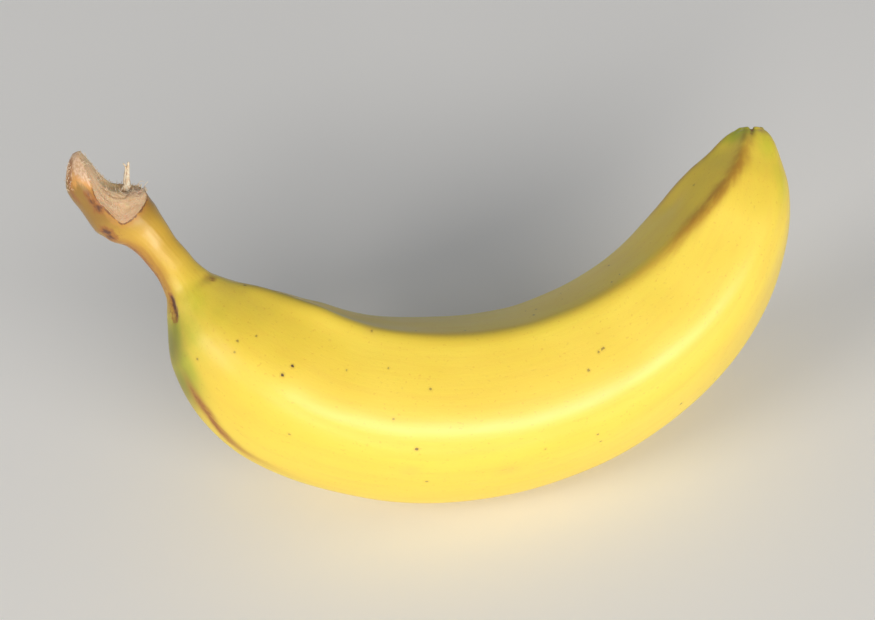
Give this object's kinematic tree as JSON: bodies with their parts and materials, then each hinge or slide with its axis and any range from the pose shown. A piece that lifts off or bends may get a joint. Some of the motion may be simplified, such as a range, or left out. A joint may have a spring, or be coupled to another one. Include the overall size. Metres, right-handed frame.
{
  "type": "banana",
  "caption": "Ripe yellow banana, curved and softly five-sided, with a stem torn at its crown end and a blunt blossom tip; lies on its side.",
  "frame": {"origin": "centre of the small flat spot on the underside that the fruit lies on; +Z is up", "axes": "X along the fruit's long way, +X towards the blossom tip and -X towards the torn stem end; the bend opens towards +Y and +Z"},
  "size_m": [0.1628, 0.0682, 0.0779],
  "materials": {
    "peel": "ripe banana peel, soft waxy sheen, yellow with green at the neck and tip and brown marks"
  },
  "bodies": {
    "root": {"banana": "peel"}
  },
  "joints": []
}
